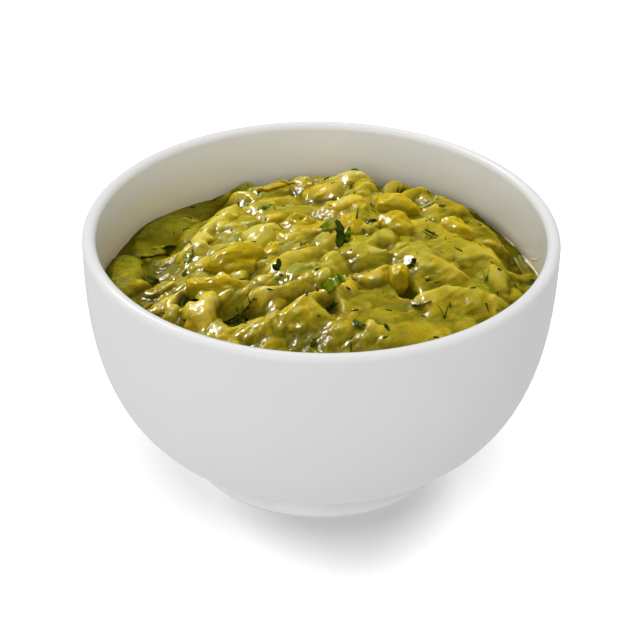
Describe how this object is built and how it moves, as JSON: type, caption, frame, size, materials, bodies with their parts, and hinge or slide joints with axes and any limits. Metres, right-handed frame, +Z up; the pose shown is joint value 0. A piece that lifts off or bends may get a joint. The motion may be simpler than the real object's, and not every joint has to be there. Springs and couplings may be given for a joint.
{
  "type": "guacamole in a bowl",
  "caption": "Chunky guacamole with chopped herbs, heaped in a round, glazed white porcelain bowl on a low foot ring.",
  "frame": {"origin": "middle of the foot ring's underside, on the surface that the bowl stands on", "axes": "+Z up through the bowl's mouth, +X to the viewer's right, +Y to the back"},
  "size_m": [0.13, 0.13, 0.07],
  "materials": {
    "white_porcelain": "glazed white porcelain",
    "mashed_avocado": "wet mashed avocado, yellow-green",
    "ripe_avocado": "wet ripe avocado flesh, golden green",
    "green_herbs": "chopped dill and leaf herbs, moist",
    "lime_juice": "thin clear yellow-green juice"
  },
  "bodies": {
    "root": {"bowl": "white_porcelain", "guacamole": "mashed_avocado", "avocado_lump_big": "ripe_avocado", "avocado_lump_finger": "ripe_avocado", "avocado_lump_back": "ripe_avocado", "avocado_lump_round": "ripe_avocado", "avocado_lump_small": "ripe_avocado", "avocado_lump_leafy": "ripe_avocado", "avocado_lump_left": "ripe_avocado", "avocado_lump_right": "ripe_avocado"}
  },
  "joints": []
}
